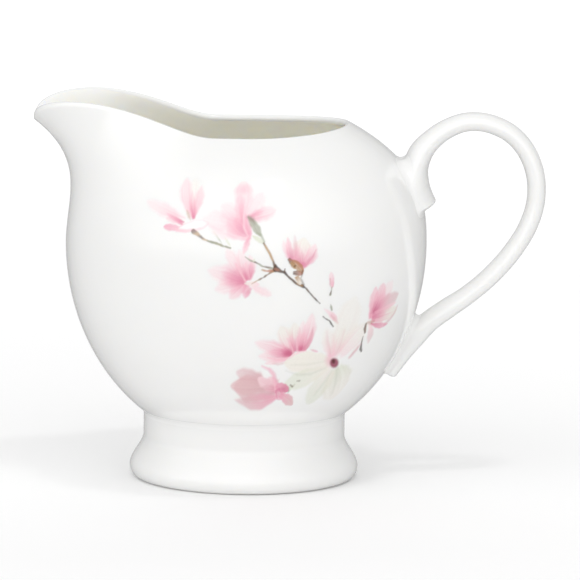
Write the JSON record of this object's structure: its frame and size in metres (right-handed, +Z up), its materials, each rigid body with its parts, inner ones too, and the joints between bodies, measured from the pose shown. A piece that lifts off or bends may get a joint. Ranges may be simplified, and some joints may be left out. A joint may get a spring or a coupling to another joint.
{
  "type": "cream jug",
  "caption": "Small footed porcelain cream jug with a round bowl, pulled pouring spout, loop handle and a printed spray of magnolia blossom.",
  "frame": {"origin": "on the foot's axis, at the height of the flat contact ring that the jug stands on", "axes": "+Z up along the foot's axis, +X towards the handle, -X towards the spout; the jug's symmetry plane is Y = 0, and the printed side faces -Y"},
  "size_m": [0.1276, 0.0901, 0.0953],
  "materials": {
    "glazed_porcelain": "clear high-gloss glaze over white porcelain",
    "glazed_slip": "fired slip under the same gloss glaze",
    "printed_transfer": "soft pink, cream, green and brown printed enamel fired onto the glaze"
  },
  "bodies": {
    "root": {"body": "glazed_porcelain", "foot": "glazed_porcelain", "foot_slip_joint": "glazed_slip", "handle": "glazed_porcelain", "upper_handle_slip_joint": "glazed_slip", "lower_handle_slip_joint": "glazed_slip", "floral_transfer": "printed_transfer"}
  },
  "joints": []
}
